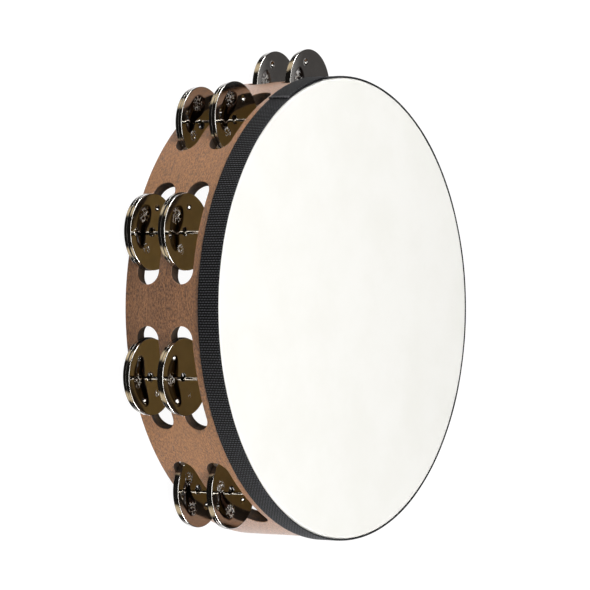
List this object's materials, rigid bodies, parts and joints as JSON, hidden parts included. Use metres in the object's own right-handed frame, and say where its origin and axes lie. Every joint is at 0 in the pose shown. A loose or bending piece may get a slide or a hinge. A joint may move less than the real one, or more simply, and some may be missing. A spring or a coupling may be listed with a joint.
{
  "type": "headed tambourine",
  "caption": "Wooden hoop with a glued drum head under a webbing band, and two rows of loose paired jingles on pins in slots round the hoop.",
  "frame": {"origin": "on the drum's axis, in the plane of the open rim that it rests on", "axes": "+Z along the drum's axis towards the head; -Y towards the stretch without jingles, where the hand holds the hoop"},
  "size_m": [0.2768, 0.2739, 0.061],
  "materials": {
    "wood": "brown stained hardwood, open grain, satin",
    "skin": "bleached drum skin, smooth, matt",
    "webbing": "black ribbed webbing",
    "pin_steel": "plain drawn steel pin",
    "jingle_metal": "polished dark nickel plate on sheet steel"
  },
  "bodies": {
    "drum": {"shell": "wood", "drum_head": "skin", "webbing_band": "webbing", "jingle_pins": "pin_steel"},
    "jingle_rim_row_1_lower": {"jingle_rim_row_1_lower": "jingle_metal"},
    "jingle_rim_row_1_upper": {"jingle_rim_row_1_upper": "jingle_metal"},
    "jingle_rim_row_2_lower": {"jingle_rim_row_2_lower": "jingle_metal"},
    "jingle_rim_row_2_upper": {"jingle_rim_row_2_upper": "jingle_metal"},
    "jingle_rim_row_3_lower": {"jingle_rim_row_3_lower": "jingle_metal"},
    "jingle_rim_row_3_upper": {"jingle_rim_row_3_upper": "jingle_metal"},
    "jingle_rim_row_4_lower": {"jingle_rim_row_4_lower": "jingle_metal"},
    "jingle_rim_row_4_upper": {"jingle_rim_row_4_upper": "jingle_metal"},
    "jingle_rim_row_5_lower": {"jingle_rim_row_5_lower": "jingle_metal"},
    "jingle_rim_row_5_upper": {"jingle_rim_row_5_upper": "jingle_metal"},
    "jingle_rim_row_6_lower": {"jingle_rim_row_6_lower": "jingle_metal"},
    "jingle_rim_row_6_upper": {"jingle_rim_row_6_upper": "jingle_metal"},
    "jingle_rim_row_7_lower": {"jingle_rim_row_7_lower": "jingle_metal"},
    "jingle_rim_row_7_upper": {"jingle_rim_row_7_upper": "jingle_metal"},
    "jingle_rim_row_8_lower": {"jingle_rim_row_8_lower": "jingle_metal"},
    "jingle_rim_row_8_upper": {"jingle_rim_row_8_upper": "jingle_metal"},
    "jingle_rim_row_9_lower": {"jingle_rim_row_9_lower": "jingle_metal"},
    "jingle_rim_row_9_upper": {"jingle_rim_row_9_upper": "jingle_metal"},
    "jingle_head_row_1_lower": {"jingle_head_row_1_lower": "jingle_metal"},
    "jingle_head_row_1_upper": {"jingle_head_row_1_upper": "jingle_metal"},
    "jingle_head_row_2_lower": {"jingle_head_row_2_lower": "jingle_metal"},
    "jingle_head_row_2_upper": {"jingle_head_row_2_upper": "jingle_metal"},
    "jingle_head_row_3_lower": {"jingle_head_row_3_lower": "jingle_metal"},
    "jingle_head_row_3_upper": {"jingle_head_row_3_upper": "jingle_metal"},
    "jingle_head_row_4_lower": {"jingle_head_row_4_lower": "jingle_metal"},
    "jingle_head_row_4_upper": {"jingle_head_row_4_upper": "jingle_metal"},
    "jingle_head_row_5_lower": {"jingle_head_row_5_lower": "jingle_metal"},
    "jingle_head_row_5_upper": {"jingle_head_row_5_upper": "jingle_metal"},
    "jingle_head_row_6_lower": {"jingle_head_row_6_lower": "jingle_metal"},
    "jingle_head_row_6_upper": {"jingle_head_row_6_upper": "jingle_metal"},
    "jingle_head_row_7_lower": {"jingle_head_row_7_lower": "jingle_metal"},
    "jingle_head_row_7_upper": {"jingle_head_row_7_upper": "jingle_metal"},
    "jingle_head_row_8_lower": {"jingle_head_row_8_lower": "jingle_metal"},
    "jingle_head_row_8_upper": {"jingle_head_row_8_upper": "jingle_metal"},
    "jingle_head_row_9_lower": {"jingle_head_row_9_lower": "jingle_metal"},
    "jingle_head_row_9_upper": {"jingle_head_row_9_upper": "jingle_metal"}
  },
  "joints": [
    {"name": "jingle_rim_row_1_lower_slide", "type": "slide", "parent": "drum", "child": "jingle_rim_row_1_lower", "axis": [0, 0, 1], "range_m": [0, 0.00475]},
    {"name": "jingle_rim_row_1_upper_slide", "type": "slide", "parent": "jingle_rim_row_1_lower", "child": "jingle_rim_row_1_upper", "axis": [0, 0, 1], "range_m": [0, 0.00475]},
    {"name": "jingle_rim_row_2_lower_slide", "type": "slide", "parent": "drum", "child": "jingle_rim_row_2_lower", "axis": [0, 0, 1], "range_m": [0, 0.00475]},
    {"name": "jingle_rim_row_2_upper_slide", "type": "slide", "parent": "jingle_rim_row_2_lower", "child": "jingle_rim_row_2_upper", "axis": [0, 0, 1], "range_m": [0, 0.00475]},
    {"name": "jingle_rim_row_3_lower_slide", "type": "slide", "parent": "drum", "child": "jingle_rim_row_3_lower", "axis": [0, 0, 1], "range_m": [0, 0.00475]},
    {"name": "jingle_rim_row_3_upper_slide", "type": "slide", "parent": "jingle_rim_row_3_lower", "child": "jingle_rim_row_3_upper", "axis": [0, 0, 1], "range_m": [0, 0.00475]},
    {"name": "jingle_rim_row_4_lower_slide", "type": "slide", "parent": "drum", "child": "jingle_rim_row_4_lower", "axis": [0, 0, 1], "range_m": [0, 0.00475]},
    {"name": "jingle_rim_row_4_upper_slide", "type": "slide", "parent": "jingle_rim_row_4_lower", "child": "jingle_rim_row_4_upper", "axis": [0, 0, 1], "range_m": [0, 0.00475]},
    {"name": "jingle_rim_row_5_lower_slide", "type": "slide", "parent": "drum", "child": "jingle_rim_row_5_lower", "axis": [0, 0, 1], "range_m": [0, 0.00475]},
    {"name": "jingle_rim_row_5_upper_slide", "type": "slide", "parent": "jingle_rim_row_5_lower", "child": "jingle_rim_row_5_upper", "axis": [0, 0, 1], "range_m": [0, 0.00475]},
    {"name": "jingle_rim_row_6_lower_slide", "type": "slide", "parent": "drum", "child": "jingle_rim_row_6_lower", "axis": [0, 0, 1], "range_m": [0, 0.00475]},
    {"name": "jingle_rim_row_6_upper_slide", "type": "slide", "parent": "jingle_rim_row_6_lower", "child": "jingle_rim_row_6_upper", "axis": [0, 0, 1], "range_m": [0, 0.00475]},
    {"name": "jingle_rim_row_7_lower_slide", "type": "slide", "parent": "drum", "child": "jingle_rim_row_7_lower", "axis": [0, 0, 1], "range_m": [0, 0.00475]},
    {"name": "jingle_rim_row_7_upper_slide", "type": "slide", "parent": "jingle_rim_row_7_lower", "child": "jingle_rim_row_7_upper", "axis": [0, 0, 1], "range_m": [0, 0.00475]},
    {"name": "jingle_rim_row_8_lower_slide", "type": "slide", "parent": "drum", "child": "jingle_rim_row_8_lower", "axis": [0, 0, 1], "range_m": [0, 0.00475]},
    {"name": "jingle_rim_row_8_upper_slide", "type": "slide", "parent": "jingle_rim_row_8_lower", "child": "jingle_rim_row_8_upper", "axis": [0, 0, 1], "range_m": [0, 0.00475]},
    {"name": "jingle_rim_row_9_lower_slide", "type": "slide", "parent": "drum", "child": "jingle_rim_row_9_lower", "axis": [0, 0, 1], "range_m": [0, 0.00475]},
    {"name": "jingle_rim_row_9_upper_slide", "type": "slide", "parent": "jingle_rim_row_9_lower", "child": "jingle_rim_row_9_upper", "axis": [0, 0, 1], "range_m": [0, 0.00475]},
    {"name": "jingle_head_row_1_lower_slide", "type": "slide", "parent": "drum", "child": "jingle_head_row_1_lower", "axis": [0, 0, 1], "range_m": [0, 0.00475]},
    {"name": "jingle_head_row_1_upper_slide", "type": "slide", "parent": "jingle_head_row_1_lower", "child": "jingle_head_row_1_upper", "axis": [0, 0, 1], "range_m": [0, 0.00475]},
    {"name": "jingle_head_row_2_lower_slide", "type": "slide", "parent": "drum", "child": "jingle_head_row_2_lower", "axis": [0, 0, 1], "range_m": [0, 0.00475]},
    {"name": "jingle_head_row_2_upper_slide", "type": "slide", "parent": "jingle_head_row_2_lower", "child": "jingle_head_row_2_upper", "axis": [0, 0, 1], "range_m": [0, 0.00475]},
    {"name": "jingle_head_row_3_lower_slide", "type": "slide", "parent": "drum", "child": "jingle_head_row_3_lower", "axis": [0, 0, 1], "range_m": [0, 0.00475]},
    {"name": "jingle_head_row_3_upper_slide", "type": "slide", "parent": "jingle_head_row_3_lower", "child": "jingle_head_row_3_upper", "axis": [0, 0, 1], "range_m": [0, 0.00475]},
    {"name": "jingle_head_row_4_lower_slide", "type": "slide", "parent": "drum", "child": "jingle_head_row_4_lower", "axis": [0, 0, 1], "range_m": [0, 0.00475]},
    {"name": "jingle_head_row_4_upper_slide", "type": "slide", "parent": "jingle_head_row_4_lower", "child": "jingle_head_row_4_upper", "axis": [0, 0, 1], "range_m": [0, 0.00475]},
    {"name": "jingle_head_row_5_lower_slide", "type": "slide", "parent": "drum", "child": "jingle_head_row_5_lower", "axis": [0, 0, 1], "range_m": [0, 0.00475]},
    {"name": "jingle_head_row_5_upper_slide", "type": "slide", "parent": "jingle_head_row_5_lower", "child": "jingle_head_row_5_upper", "axis": [0, 0, 1], "range_m": [0, 0.00475]},
    {"name": "jingle_head_row_6_lower_slide", "type": "slide", "parent": "drum", "child": "jingle_head_row_6_lower", "axis": [0, 0, 1], "range_m": [0, 0.00475]},
    {"name": "jingle_head_row_6_upper_slide", "type": "slide", "parent": "jingle_head_row_6_lower", "child": "jingle_head_row_6_upper", "axis": [0, 0, 1], "range_m": [0, 0.00475]},
    {"name": "jingle_head_row_7_lower_slide", "type": "slide", "parent": "drum", "child": "jingle_head_row_7_lower", "axis": [0, 0, 1], "range_m": [0, 0.00475]},
    {"name": "jingle_head_row_7_upper_slide", "type": "slide", "parent": "jingle_head_row_7_lower", "child": "jingle_head_row_7_upper", "axis": [0, 0, 1], "range_m": [0, 0.00475]},
    {"name": "jingle_head_row_8_lower_slide", "type": "slide", "parent": "drum", "child": "jingle_head_row_8_lower", "axis": [0, 0, 1], "range_m": [0, 0.00475]},
    {"name": "jingle_head_row_8_upper_slide", "type": "slide", "parent": "jingle_head_row_8_lower", "child": "jingle_head_row_8_upper", "axis": [0, 0, 1], "range_m": [0, 0.00475]},
    {"name": "jingle_head_row_9_lower_slide", "type": "slide", "parent": "drum", "child": "jingle_head_row_9_lower", "axis": [0, 0, 1], "range_m": [0, 0.00475]},
    {"name": "jingle_head_row_9_upper_slide", "type": "slide", "parent": "jingle_head_row_9_lower", "child": "jingle_head_row_9_upper", "axis": [0, 0, 1], "range_m": [0, 0.00475]}
  ]
}
